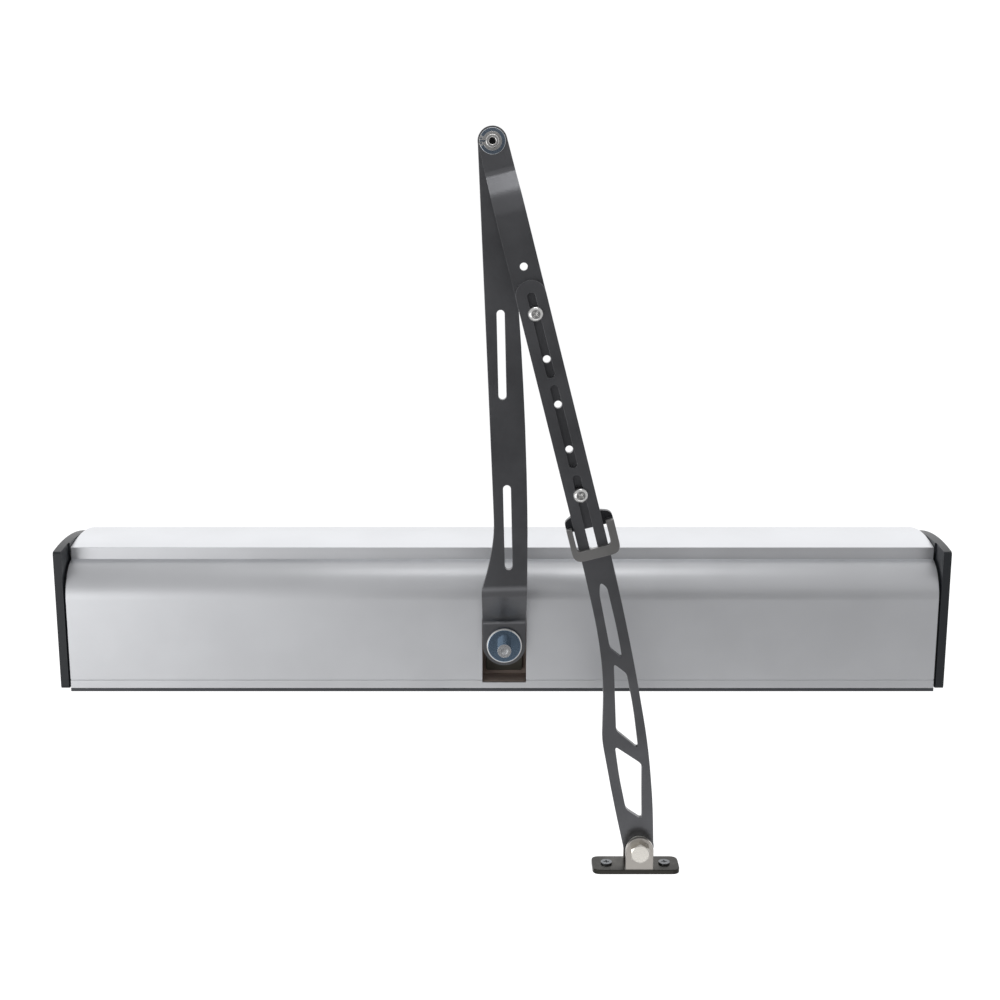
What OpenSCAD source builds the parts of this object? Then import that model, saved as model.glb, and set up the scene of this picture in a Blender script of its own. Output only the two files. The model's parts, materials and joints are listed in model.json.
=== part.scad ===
// Powered door closer: a long operator box for the wall above a door, with a push arm.
// Frame: origin at the centre of the wall face, +Z up, +X along the box, the front faces -Y.
// The spindle leaves the underside, so everything on the arm lies below the box.

/* [Operator box] */
// Length over the two end caps
overall_len = 663; // [643:5:763]
// Height of the box
box_h = 120; // [118:1:130]
// Thickness of the end caps along the box
cap_t = 6; // [6:0.5:12]
// Shadow gap between a cap and the cover
cap_gap = 1.5; // [0.5:0.1:3]
// Wall thickness of the cover
cover_t = 2.2; // [1.6:0.1:2.6]
// Radius of the cover's rounded shoulders
shoulder_r = 28; // [24:1:30]
// How far the fascia stands out in front of the shoulders
fascia_out = 9; // [6:0.5:12]
// Height of the fascia
fascia_h = 80; // [76:1:84]
// Crown of the fascia's front
crown = 5.5; // [2:0.5:6]
// How much the front leans back towards the top, per millimetre of height
front_lean = 0.04; // [0:0.01:0.05]

/* [Gear train] */
// Where the spindle stands along the box
spindle_x = 1.5; // [-5:0.5:5]
// Distance of the spindle from the wall
spindle_out = 40; // [39:0.5:42]
// Diameter of the spindle in its bearings
spindle_d = 16; // [14:1:18]
// Module of the spindle gear
spindle_mod = 1.25; // [1.25:0.05:1.25]
// Teeth of the spindle gear
spindle_teeth = 48; // [48:1:48]
// Teeth of the second gear
second_teeth = 45; // [45:1:45]
// Teeth of the first gear
first_teeth = 48; // [48:1:48]
// Teeth of the pinions
pinion_teeth = 12; // [12:1:12]

/* [Push arm] */
// Sheet thickness of the arm
arm_t = 5; // [4:0.5:6]
// Main arm from spindle to elbow
main_len = 362; // [340:1:380]
// Turn of the main arm from straight out
main_turn = 1.3; // [-5:0.1:5]
// Step of the main arm away from the box
main_step = 28; // [22:1:34]
// Turn of the forearm's bar from straight back
fore_turn = 14.3; // [8:0.1:30]
// Step of the upper bar past the elbow
fore_step = 15; // [12:0.5:18]
// Half width of the forearm's bars
bar_w2 = 10.4; // [9.5:0.1:11]
// Pitch of the clamp holes
hole_pitch = 32; // [30:0.5:34]
// Clamp screw diameter
clamp_d = 5; // [4:0.5:5]

/* [Door shoe] */
// Width of the shoe's plate
shoe_w = 63; // [58:1:70]
// Height of the shoe's plate along the pivot
shoe_h = 23; // [22:0.5:26]
// Sheet thickness of the shoe
shoe_t = 3.5; // [3:0.5:4]
// Distance from the pivot to the door face
shoe_out = 18; // [17:0.5:20]
// Spacing of the shoe's two screws
shoe_screw_gap = 42; // [38:1:46]

/* [Hidden] */
$fn = 48;
eps = 0.01;
gap = 0.3;                // air between pieces that move on each other
fit = 0.03;               // radial clearance of a running fit

// Operator box, distances from the wall along -Y are kept as positive "out" values
box_h2 = box_h / 2;
plate_t = 3;              // back plate
plate_h2 = box_h2 - 2.5;
edge_out = plate_t + 0.5; // where the cover's edges start
flat_out = edge_out + 68; // where the shoulders start
shoulder_out = flat_out + sqrt(pow(shoulder_r, 2) - pow(shoulder_r - (box_h2 - fascia_h / 2), 2));
face_out = shoulder_out + fascia_out;
cap_peak = [face_out + 4.2, -25];        // out and height of the cap's foremost point
cap_bow = 0.0024;                        // fall of the cap's front, per square millimetre
cap_edge_out = 3;
cap_in = overall_len / 2 - cap_t;        // inner face of a cap
cover_len2 = cap_in - cap_gap;           // half length of the cover
cutout = [[-16.4, 16.4], [8, 58]];      // across the spindle, and out from the wall
groove_out = 10;
wall_hole_x = 300;
wall_hole_z = 40;
wall_hole_d = 6.6;
cable_at = [270, -28];                   // x, z of the cable hole
grommet_bore_d = 14;
cap_screw_at = [[40, 38], [40, -38]];    // out, z
bracket_x = cap_in - 13;
plate_len2 = cap_in - 0.5;                // the back plate runs almost to the caps
bracket_t = 2;

// Gear train: axes, from the spindle to the motor
spindle = [spindle_x, -spindle_out];
second_mod = 1;
first_mod = 0.8;
tooth_short = 0.75;       // addendum of the large gears, in modules
dist_second = spindle_mod * (spindle_teeth + pinion_teeth) / 2;
dist_first = second_mod * (second_teeth + pinion_teeth) / 2;
dist_rotor = first_mod * (first_teeth + pinion_teeth) / 2;
second_dir = -20;
second = spindle + dist_second * [cos(second_dir), sin(second_dir)];
first = second + [dist_first, 0];
motor = first + [dist_rotor, 0];
shaft_r = 4;
motor_shaft_r = 3;
house_x = [spindle_x - 38.5, motor[0] + 13];
house_out = [edge_out, 82];
house_z = [-39, -4];      // underside and lid face
lid_z = 0;
house_wall = 4;
pad = [27.5, [12, 66], 4];   // width, out range, thickness of the bearing retainer
lid_screw_at = [for (x = [house_x[0] + 6, house_x[1] - 7], y = [-76, -11]) [x, y]];
spindle_r = spindle_d / 2 - fit;
bearing_r = 12;
spring_r = [9.6, 29.5];
spring_turns = 5;
cup_r = 34;
cup_h = 24;
can_r = 31;
can_h = 46;
bell_r = 24;

// Heights below the box
under = -box_h2;
hub_far = under - 3;
hub_near = hub_far - arm_t;
main_near = hub_near - main_step;
main_far = main_near + arm_t;
elbow_far = main_near - 1 - gap;
elbow_near = elbow_far - arm_t;
upper_near = elbow_near - fore_step;
upper_far = upper_near + arm_t;
lower_far = upper_near - gap;
lower_near = lower_far - arm_t;
shoe_mid = (lower_near + lower_far) / 2;

// Main arm
hub_r = 15.9;
elbow_r = 10;
bend_start = 17.7;
bend_run = 29.7;
pin_r = 4.5;
elbow = spindle + main_len * [-sin(main_turn), -cos(main_turn)];

// Forearm, measured along the bar from the elbow
upper_end = 270;
first_hole = 84.8;
holes = [for (k = [0:5]) first_hole + k * hole_pitch];
clamp_at = [holes[1], holes[5]];
lower_start = 94;
slot_from = 102.3;
slot_len = 59;
slot_pitch = 64;
slot_w = clamp_d + 0.6;
shoe_at = [-20.6, 507.2];  // the shoe's pivot, across and along the bar
lower_end_r = 11;
loop_in = [-11.6, 12.4];  // sides of the guide loop's opening, across the bar
loop_out = [-15.6, 18];
shoe = elbow + [shoe_at[0] * cos(fore_turn) + shoe_at[1] * sin(fore_turn),
                -shoe_at[0] * sin(fore_turn) + shoe_at[1] * cos(fore_turn)];
ear_r = 10;
shoe_bolt_r = 4;
plate_shift = -2;

// ---------------------------------------------------------------- helpers
function unit(v) = v / norm(v);

// Rounds an outline: each corner is [x, y, cut], and its curve starts that far from the corner
function rounded(p, steps = 5) = [
    for (i = [0:len(p) - 1])
        let (a = p[(i + len(p) - 1) % len(p)], b = p[i], c = p[(i + 1) % len(p)],
             pb = [b[0], b[1]], ab = [a[0], a[1]] - pb, cb = [c[0], c[1]] - pb,
             t = min(b[2], 0.48 * norm(ab), 0.48 * norm(cb)),
             s = pb + t * unit(ab), e = pb + t * unit(cb))
        for (k = [0:(t > 0 ? steps : 0)])
            let (q = t > 0 ? k / steps : 0)
            (1 - q) * (1 - q) * s + 2 * q * (1 - q) * pb + q * q * e];

// Extrudes an outline of [out, z] points along the box, from x0 to x1
module along_box(pts, x0, x1)
    translate([x0, 0, 0]) rotate([90, 0, 90]) linear_extrude(x1 - x0)
        polygon([for (p = pts) [-p[0], p[1]]]);

// A block given by its ranges
module block(x, out, z)
    translate([x[0], -out[1], z[0]]) cube([x[1] - x[0], out[1] - out[0], z[1] - z[0]]);

// A cylinder from z0 to z1
module post(r, z0, z1, at = [0, 0])
    translate([at[0], at[1], z0]) cylinder(r = r, h = z1 - z0);

// A ring from z0 to z1
module ring(ro, ri, z0, z1, at = [0, 0])
    difference() {
        post(ro, z0, z1, at);
        post(ri, z0 - 1, z1 + 1, at);
    }

// A cylinder that points at the wall, from out o0 to out o1
module peg(r, x, z, o0, o1)
    translate([x, -o0, z]) rotate([90, 0, 0]) cylinder(r = r, h = o1 - o0);

// A long hole
module slot(r, p, q, z0, z1) {
    d = q - p;
    post(r, z0, z1, p);
    post(r, z0, z1, q);
    translate([p[0], p[1], z0]) rotate([0, 0, atan2(d[1], d[0])]) translate([0, -r, 0])
        cube([norm(d), 2 * r, z1 - z0]);
}

// Hexagon prism by its width across flats
module hex(af, z0, z1, at = [0, 0], turn = 0)
    translate([at[0], at[1], z0]) rotate([0, 0, turn]) cylinder(r = af / sqrt(3), h = z1 - z0, $fn = 6);

// Cross recess cut into a screw head whose face is at z, the screw pointing to +Z
module cross_recess(size, z, depth)
    for (turn = [0, 90]) rotate([0, 0, turn]) translate([-size / 2, -size / 8, z - 1])
        cube([size, size / 4, depth + 1]);

// ---------------------------------------------------------------- gears
function involute(r, rb) = let (c = acos(min(1, rb / r))) tan(c) * 180 / PI - c;
function half_tooth(r, teeth, rb, slack) = 90 / teeth + involute(rb / cos(20), rb) - involute(r, rb) - slack;

// Spur gear outline with 20 degree involute flanks; one tooth is centred on angle 0
module gear_outline(teeth, mod, add) {
    rp = teeth * mod / 2;
    rb = rp * cos(20);
    ra = rp + add * mod;
    rf = rp - 1.15 * mod;
    slack = 0.05 * mod / rp * 180 / PI;
    radii = [rf, max(rb, rf + 0.01), rp, ra];
    polygon([for (i = [0:teeth - 1], side = [-1, 1], k = [0:3])
        let (j = side < 0 ? k : 3 - k, r = radii[j],
             a = 360 * i / teeth + side * half_tooth(max(r, rb), teeth, rb, slack))
        [r * cos(a), r * sin(a)]]);
}

// A gear at a place and height, with one tooth pointing along tooth_dir
module gear(teeth, mod, add, at, z0, z1, tooth_dir)
    translate([at[0], at[1], z0]) rotate([0, 0, tooth_dir]) linear_extrude(z1 - z0) gear_outline(teeth, mod, add);

// ---------------------------------------------------------------- box outlines
// Outline of the cover from the wall edge on the underside round to the wall edge on top,
// moved inwards by d
function shoulder(d, side) = [
    for (k = [0:12])
        let (r = shoulder_r - d, top = acos((shoulder_r - box_h2 + fascia_h / 2 - d) / r), a = top * k / 12)
        [flat_out + r * sin(a), side * (box_h2 - shoulder_r + r * cos(a))]];
function fascia(d) = [
    for (k = [-6:6]) let (z = k / 6 * (fascia_h / 2 - d))
        [face_out - d + crown * (1 - pow(k / 6, 2)) - front_lean * (z + fascia_h / 2), z]];
function reversed(p) = [for (i = [len(p) - 1:-1:0]) p[i]];
function cover_side(d, edge) = concat([[edge, -box_h2 + d]], shoulder(d, -1), fascia(d),
                                      reversed(shoulder(d, 1)), [[edge, box_h2 - d]]);

// Outline of an end cap, whose bowed front falls back towards the top
function cap_front(z) = cap_peak[0] - cap_bow * pow(z - cap_peak[1], 2);
function cap_outline() = rounded(concat(
    [[cap_edge_out, -box_h2, 2.5], [cap_front(-box_h2), -box_h2, 2]],
    [for (k = [-4:4]) [cap_front(k / 5 * box_h2), k / 5 * box_h2, 4]],
    [[cap_front(box_h2), box_h2, 3], [cap_edge_out, box_h2, 2.5]]), 3);

// ---------------------------------------------------------------- operator body
module back_plate() color([0.17, 0.18, 0.19]) difference() {
    union() {
        block([-plate_len2, plate_len2], [0, plate_t], [-plate_h2, plate_h2]);
        for (side = [-1, 1], half = [-1, 1])
            block(half < 0 ? [-plate_len2 + 12, -44] : [44, plate_len2 - 12], [plate_t, 11.5],
                  side < 0 ? [-plate_h2, -plate_h2 + 2] : [plate_h2 - 2, plate_h2]);
    }
    for (x = [-wall_hole_x, wall_hole_x], z = [-wall_hole_z, wall_hole_z])
        peg(wall_hole_d / 2, x, z, -1, plate_t + 1);
    peg(grommet_bore_d / 2 + 2, cable_at[0], cable_at[1], -1, plate_t + 1);
}

module end_bracket(side) color([0.7, 0.71, 0.72]) difference() {
    union() {
        block([bracket_x, bracket_x + bracket_t], [plate_t, 88], [-46, 46]);
        block([bracket_x - 8, bracket_x], [plate_t, plate_t + bracket_t], [-30, 30]);
    }
    for (s = cap_screw_at) translate([bracket_x - 1, -s[0], s[1]]) rotate([0, 90, 0])
        cylinder(r = 2, h = bracket_t + 2);
    block([bracket_x - 1, bracket_x + bracket_t + 1], [20, 70], [-24, 24]);
}
module end_bracket_left() mirror([1, 0, 0]) end_bracket();
module end_bracket_right() end_bracket();

module cover() color([0.76, 0.77, 0.78]) difference() {
    along_box(cover_side(0, edge_out), -cover_len2, cover_len2);
    along_box(cover_side(cover_t, edge_out - 1), -cover_len2 - 1, cover_len2 + 1);
    block([spindle_x + cutout[0][0], spindle_x + cutout[0][1]], cutout[1], [-box_h2 - 1, -box_h2 + 6]);
    for (side = [-1, 1])
        block([-cover_len2 - 1, cover_len2 + 1], [groove_out - 0.4, groove_out + 0.4],
              side < 0 ? [-box_h2 - 1, -box_h2 + 0.6] : [box_h2 - 0.6, box_h2 + 1]);
}

module end_cap() color([0.2, 0.21, 0.23]) difference() {
    union() {
        along_box(cap_outline(), cap_in, cap_in + cap_t);
        // lip that closes the gap behind the fascia
        intersection() {
            along_box(cap_outline(), cap_in - cap_gap + gap, cap_in + 1);
            block([cap_in - 5, cap_in + 5], [face_out - 4, face_out + 20], [-fascia_h / 2, 8]);
        }
        // tongue that fits into the cover
        difference() {
            along_box(cover_side(cover_t + gap, edge_out + 1), cap_in - 9, cap_in + 1);
            along_box(cover_side(cover_t + gap + 2, edge_out - 1), cap_in - 10, cap_in);
        }
    }
    for (s = cap_screw_at) translate([0, -s[0], s[1]]) rotate([0, 90, 0]) {
        translate([0, 0, cap_in - 1]) cylinder(r = 2.2, h = cap_t + 2);
        translate([0, 0, cap_in + cap_t - 3.4]) cylinder(r = 4.6, h = 4);
    }
}
module end_cap_left() mirror([1, 0, 0]) end_cap();
module end_cap_right() end_cap();

module cap_screws() color([0.8, 0.8, 0.82])
    for (side = [0, 1], s = cap_screw_at) mirror([side, 0, 0])
        translate([overall_len / 2 - 0.6, -s[0], s[1]]) rotate([0, -90, 0]) {
            difference() {
                cylinder(r = 4, h = 2.8);
                cross_recess(4.4, 0, 1.6);
            }
            translate([0, 0, 2.8]) cylinder(r = 2, h = 20);
        }

module gearbox_housing() color([0.56, 0.56, 0.55]) difference() {
    union() {
        difference() {
            block(house_x, house_out, house_z);
            block([house_x[0] + house_wall, house_x[1] - house_wall],
                  [house_out[0] + house_wall, house_out[1] - house_wall], [house_z[0] + 3, house_z[1] + 1]);
        }
        for (p = lid_screw_at) post(4.5, house_z[0], house_z[1], p);
        block([spindle_x - 30, spindle_x + 30], [edge_out, cutout[1][0] + 0.1], [-57, house_z[0] + 1]);
    }
    post(bearing_r, house_z[0] - 1, house_z[0] + 4, spindle);
    for (p = [second, first]) post(shaft_r + fit, house_z[0] - 1, house_z[0] + 4, p);
    for (p = lid_screw_at) post(1.8, house_z[1] - 14, house_z[1] + 1, p);
}

module gearbox_lid() color([0.6, 0.6, 0.6]) difference() {
    block([house_x[0], motor[0] + 33], [house_out[0], 86], [house_z[1], lid_z]);
    post(bearing_r, house_z[1] - 1, lid_z + 1, spindle);
    for (p = [second, first]) post(shaft_r + fit, house_z[1] - 1, lid_z + 1, p);
    post(7.5, house_z[1] - 1, lid_z + 1, motor);
    for (p = lid_screw_at) {
        post(2.2, house_z[1] - 1, lid_z + 1, p);
        post(4, lid_z - 2.4, lid_z + 1, p);
    }
}

module gearbox_screws() color([0.75, 0.75, 0.77])
    for (p = lid_screw_at) translate([p[0], p[1], 0]) {
        difference() {
            post(3.8, lid_z - 2.4, lid_z - 0.1);
            for (turn = [0, 90]) rotate([0, 0, turn]) translate([-2, -0.5, lid_z - 1.6]) cube([4, 1, 3]);
        }
        post(1.8, house_z[1] - 12, lid_z - 2.4);
    }

module bearing_retainer() color([0.2, 0.2, 0.17]) difference() {
    translate([spindle_x, 0, house_z[0] - pad[2]]) linear_extrude(pad[2])
        polygon(rounded([[-pad[0] / 2, -pad[1][1], 3], [pad[0] / 2, -pad[1][1], 3],
                         [pad[0] / 2, -pad[1][0], 2], [-pad[0] / 2, -pad[1][0], 2]]));
    post(spindle_d / 2 + 1.5, house_z[0] - pad[2] - 1, house_z[0] + 1, spindle);
    post(bearing_r, house_z[0] - pad[2] + 1, house_z[0] + 1, spindle);
}

module spindle_bearing_lower() color([0.78, 0.78, 0.8])
    ring(bearing_r, spindle_d / 2, house_z[0] - pad[2] + 1, house_z[0] + 3, spindle);
module spindle_bearing_upper() color([0.78, 0.78, 0.8])
    ring(bearing_r, spindle_d / 2, house_z[1], lid_z, spindle);

module spring_housing() color([0.62, 0.62, 0.62]) difference() {
    post(cup_r, lid_z, lid_z + cup_h, spindle);
    post(cup_r - 2, lid_z - 1, lid_z + cup_h - 2, spindle);
    post(spindle_d / 2 + 1, lid_z, lid_z + cup_h + 1, spindle);
}

module motor_can() color([0.3, 0.31, 0.33]) difference() {
    post(can_r, lid_z, lid_z + can_h, motor);
    post(can_r - 2, lid_z + 2, lid_z + can_h + 1, motor);
    post(motor_shaft_r + fit, lid_z - 1, lid_z + 3, motor);
}

module motor_end_bell() color([0.12, 0.12, 0.13]) difference() {
    union() {
        post(can_r, lid_z + can_h, lid_z + can_h + 2, motor);
        post(bell_r, lid_z + can_h + 2, lid_z + can_h + 7, motor);
    }
    post(motor_shaft_r + fit, lid_z + can_h - 1, lid_z + can_h + 8, motor);
}

module motor_magnets() color([0.25, 0.25, 0.27]) difference() {
    ring(can_r - 2, can_r - 6.5, lid_z + 8, lid_z + 40, motor);
    translate([motor[0] - 50, motor[1] - 5, lid_z]) cube([100, 10, 60]);
}

module encoder_board() color([0.1, 0.35, 0.2])
    ring(14, 5, lid_z + can_h + 7, lid_z + can_h + 8.6, motor);

// Control electronics, left of the gearbox
board_x = [-285, -125];
board_z = 42;
board_out = [15.4, 17];
module control_board() color([0.08, 0.35, 0.18]) block(board_x, board_out, [-board_z, board_z]);
module board_standoffs() color([0.8, 0.76, 0.55])
    for (x = [board_x[0] + 6, board_x[1] - 6], z = [-board_z + 6, board_z - 6]) peg(3, x, z, plate_t, board_out[0]);
module board_capacitors() color([0.12, 0.14, 0.2])
    for (k = [0:2]) peg(9, board_x[0] + 26 + 22 * k, 22, board_out[1], board_out[1] + 30);
module board_relays() color([0.1, 0.2, 0.5])
    for (k = [0:2]) block([board_x[0] + 92 + 22 * k, board_x[0] + 110 + 22 * k], [board_out[1], board_out[1] + 16], [12, 34]);
module board_terminals() color([0.1, 0.5, 0.25]) difference() {
    block([board_x[0] + 14, board_x[0] + 14 + 12 * 10], [board_out[1], board_out[1] + 12], [-38, -28]);
    for (k = [0:11]) peg(2, board_x[0] + 19 + 10 * k, -33, board_out[1] + 8, board_out[1] + 13);
}
module board_heatsink() color([0.7, 0.7, 0.72]) {
    block([board_x[0] + 30, board_x[0] + 80], [board_out[1], board_out[1] + 4], [-20, 6]);
    for (k = [0:5]) block([board_x[0] + 30 + 9.6 * k, board_x[0] + 32 + 9.6 * k], [board_out[1] + 4, board_out[1] + 28], [-20, 6]);
}

// Mains transformer and supply, right of the motor
core_x = [160, 225];
core_out = [plate_t + 2, 55];
core_mid = (core_x[0] + core_x[1]) / 2;
yoke = 11;
module transformer_core() color([0.35, 0.34, 0.33]) difference() {
    block(core_x, core_out, [-15, 15]);
    for (side = [-1, 1]) block([core_mid + side * 16 - 5.5, core_mid + side * 16 + 5.5],
                               [core_out[0] + yoke, core_out[1] - yoke], [-16, 16]);
}
module transformer_coil() color([0.7, 0.38, 0.16]) difference() {
    block([core_mid - 21.3, core_mid + 21.3], [core_out[0] + yoke + 0.2, core_out[1] - yoke - 0.2], [-26, 26]);
    block([core_mid - 10.5, core_mid + 10.5], [core_out[0], core_out[1]], [-15.2, 15.2]);
    for (side = [-1, 1]) block([core_mid + side * 40 - 18.7, core_mid + side * 40 + 18.7], core_out, [-15.2, 15.2]);
}
module transformer_bracket() color([0.75, 0.76, 0.77])
    block([core_x[0] - 12, core_x[1] + 12], [plate_t, plate_t + 2], [-15, 15]);
module mains_terminal() color([0.85, 0.85, 0.82]) difference() {
    block([252, 288], [plate_t, plate_t + 18], [0, 20]);
    for (k = [0:2]) peg(3, 259 + 11 * k, 10, plate_t + 12, plate_t + 19);
}
module fuse_holder() color([0.1, 0.1, 0.1]) {
    block([252, 284], [plate_t, plate_t + 9], [29, 41]);
    translate([253, -plate_t - 11, 35]) rotate([0, 90, 0]) cylinder(r = 5, h = 30);
}
module cable_grommet() color([0.08, 0.08, 0.08])
    translate([cable_at[0], 0, cable_at[1]]) rotate([90, 0, 0]) rotate_extrude()
        polygon([[grommet_bore_d / 2, 0], [grommet_bore_d / 2 + 2, 0], [grommet_bore_d / 2 + 2, plate_t],
                 [grommet_bore_d / 2 + 5, plate_t], [grommet_bore_d / 2 + 5, plate_t + 3],
                 [grommet_bore_d / 2, plate_t + 3]]);

// Two straight leads from the board to the motor's end bell
module motor_leads() color([0.6, 0.08, 0.06]) for (lead = [0, 1])
    translate([board_x[1] + 2, -board_out[1] - 2 - 4.5 * lead, 39]) rotate([0, 90, 0])
        cylinder(r = 1.5, h = motor[0] - can_r + 6 - board_x[1]);

// ---------------------------------------------------------------- spindle and main arm
module on_spindle() translate([spindle[0], spindle[1], 0]) children();
// Main arm frame: +Y from the spindle towards the elbow, +X across the arm towards the left end cap
module arm_frame() on_spindle() rotate([0, 0, 180 - main_turn]) children();

module spindle_shaft() color([0.66, 0.67, 0.69]) on_spindle() difference() {
    union() {
        post(spindle_r, hub_far + 0.5, lid_z + 19);
        post(spindle_d / 2 + 1, house_z[0] - pad[2] - 8, house_z[0] - pad[2] - 1);
        rotate([0, 0, -main_turn]) translate([-5.5, -5.5, hub_near]) cube([11, 11, arm_t + 2]);
    }
    post(3, hub_near - 1, hub_near + 18);
}

module output_gear() color([0.6, 0.6, 0.62]) difference() {
    gear(spindle_teeth, spindle_mod, tooth_short, spindle, -35, -25, second_dir);
    post(spindle_r, -36, -24, spindle);
}

// A point of the flat spiral, t from 0 at the spindle to 1 at the cup
function spiral(t, inset) = (spring_r[0] - inset + (spring_r[1] - spring_r[0]) * t)
                            * [cos(360 * spring_turns * t), sin(360 * spring_turns * t)];
module closing_spring() color([0.3, 0.33, 0.4]) on_spindle() {
    steps = 24 * spring_turns;
    translate([0, 0, lid_z + 3]) linear_extrude(14) polygon(concat(
        [for (k = [0:steps]) spiral(k / steps, 0)], [for (k = [steps:-1:0]) spiral(k / steps, 1)]));
    translate([spindle_r, -0.5, lid_z + 3]) cube([1.2, 1, 14]);
}

module main_arm() color([0.3, 0.3, 0.31]) arm_frame() difference() {
    shift = arm_t * tan(atan(main_step / bend_run) / 2);
    intersection() {
        // the bent sheet, seen from the side
        translate([-40, 0, 0]) rotate([90, 0, 90]) linear_extrude(80) polygon(rounded([
            [-20, hub_near, 0], [bend_start, hub_near, 2], [bend_start + bend_run, main_near, 6],
            [main_len + 20, main_near, 0], [main_len + 20, main_far, 0],
            [bend_start + bend_run + shift, main_far, 8], [bend_start + shift, hub_far, 7], [-20, hub_far, 0]]));
        // its outline
        union() {
            post(hub_r, main_near - 1, hub_far + 1);
            post(elbow_r, main_near - 1, hub_far + 1, [0, main_len]);
            translate([0, 0, main_near - 1]) linear_extrude(hub_far - main_near + 2) polygon(rounded([
                [hub_r, 0, 0], [hub_r - 0.6, 49, 1.5], [9.8, 67, 10], [5.2, 90, 12], [5.6, 120, 10],
                [elbow_r, main_len, 0], [-elbow_r, main_len, 0], [-17, 218, 40], [-18.7, 150, 30],
                [-18.7, 95, 20], [-hub_r, 0, 0]]));
        }
    }
    translate([-5.5, -5.5, hub_near - 1]) cube([11, 11, arm_t + 2]);
    post(pin_r, main_near - 1, main_far + 1, [0, main_len]);
    slot(2.75, [-4.5, 67.2], [-4.5, 123.4], main_near - 1, hub_far);
    slot(2.75, [-2.8, 189.6], [-2.8, 246.4], main_near - 1, hub_far);
}

module hub_washer() color([0.55, 0.6, 0.68]) on_spindle() translate([0, 0, hub_near]) rotate_extrude()
    polygon([[3.2, 0], [13, 0], [13, -2.5], [12.1, -3.4], [3.2, -3.4]]);

module hub_bolt() color([0.82, 0.83, 0.85]) on_spindle() difference() {
    union() {
        post(5, hub_near - 3.4 - 12, hub_near - 3.4);
        post(3, hub_near - 3.4, hub_near + 16);
    }
    hex(5, hub_near - 3.4 - 13, hub_near - 3.4 - 7);
}

module at_elbow() translate([elbow[0], elbow[1], 0]) children();

module elbow_pin() color([0.8, 0.81, 0.83]) at_elbow() difference() {
    union() {
        post(8, main_far, main_far + 3);
        post(pin_r, elbow_near - gap - 4.2, main_far);
    }
    post(2.2, elbow_near - gap - 5, elbow_near - gap - 1.4);
}
module elbow_spacer() color([0.7, 0.7, 0.68]) at_elbow() ring(8.5, pin_r, main_near - 1, main_near);
module elbow_washer() color([0.72, 0.75, 0.8]) at_elbow()
    ring(8.8, pin_r, elbow_near - gap - 1.4, elbow_near - gap);
module elbow_clip() color([0.85, 0.85, 0.87]) at_elbow() difference() {
    union() {
        ring(6.3, pin_r, elbow_near - gap - 2.5, elbow_near - gap - 1.4);
        for (a = [168, 192]) post(1.7, elbow_near - gap - 2.5, elbow_near - gap - 1.4, 7.4 * [cos(a), sin(a)]);
    }
    post(pin_r, elbow_near - 10, elbow_near);
    translate([-10, -0.5, elbow_near - 5]) cube([6, 1, 6]);
    for (a = [168, 192]) post(0.6, elbow_near - 5, elbow_near, 7.7 * [cos(a), sin(a)]);
}

// ---------------------------------------------------------------- gear train
module compound_gear(at, big, big_mod, big_z, big_dir, small_mod, small_z, small_dir) {
    gear(big, big_mod, tooth_short, at, big_z[0], big_z[1], big_dir);
    gear(pinion_teeth, small_mod, 1, at, small_z[0], small_z[1], small_dir);
    post(shaft_r, house_z[0] + 0.3, lid_z - 0.3, at);
}
module second_gear() color([0.62, 0.62, 0.64])
    compound_gear(second, second_teeth, second_mod, [-23.5, -16.5], 0,
                  spindle_mod, [-35, -23.5], second_dir + 180 + 180 / pinion_teeth);
module first_gear() color([0.7, 0.62, 0.4])
    compound_gear(first, first_teeth, first_mod, [-15, -10], 0,
                  second_mod, [-23.5, -15], 180 + 180 / pinion_teeth);
module rotor() color([0.55, 0.42, 0.3]) {
    gear(pinion_teeth, first_mod, 1, motor, -15.5, -9.5, 180 + 180 / pinion_teeth);
    post(motor_shaft_r, -9.5, lid_z + can_h + 10.5, motor);
    post(can_r - 8, lid_z + 9, lid_z + 38, motor);
    post(11, lid_z + 38, lid_z + 44, motor);
}

// ---------------------------------------------------------------- forearm
// Forearm frame: +X across the bar, +Y from the elbow towards the shoe
module forearm_frame() at_elbow() rotate([0, 0, -fore_turn]) children();

module forearm_bar() color([0.3, 0.3, 0.31]) forearm_frame() difference() {
    shift = arm_t * tan(atan(fore_step / 18) / 2);
    intersection() {
        translate([-40, 0, 0]) rotate([90, 0, 90]) linear_extrude(80) polygon(rounded([
            [-20, elbow_near, 0], [21, elbow_near, 2.5], [40, upper_near, 10], [upper_end, upper_near, 0],
            [upper_end, upper_far, 0], [40 + shift, upper_far, 9], [22 + shift, elbow_far, 9],
            [-20, elbow_far, 0]]));
        union() {
            post(elbow_r, upper_near - 1, elbow_far + 1);
            translate([0, 0, upper_near - 1]) linear_extrude(elbow_far - upper_near + 2) polygon([
                [-elbow_r, 0], [elbow_r, 0], [bar_w2, 40], [bar_w2, upper_end], [-bar_w2, upper_end],
                [-bar_w2, 40]]);
        }
    }
    post(6.5, elbow_near - 1, elbow_far + 1);
    for (s = holes) post(clamp_d / 2 + 0.15, upper_near - 1, upper_far + 1, [0, s]);
}

module elbow_bush() color([0.75, 0.6, 0.35]) at_elbow() ring(6.5, pin_r + fit, elbow_near, elbow_far);

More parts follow.
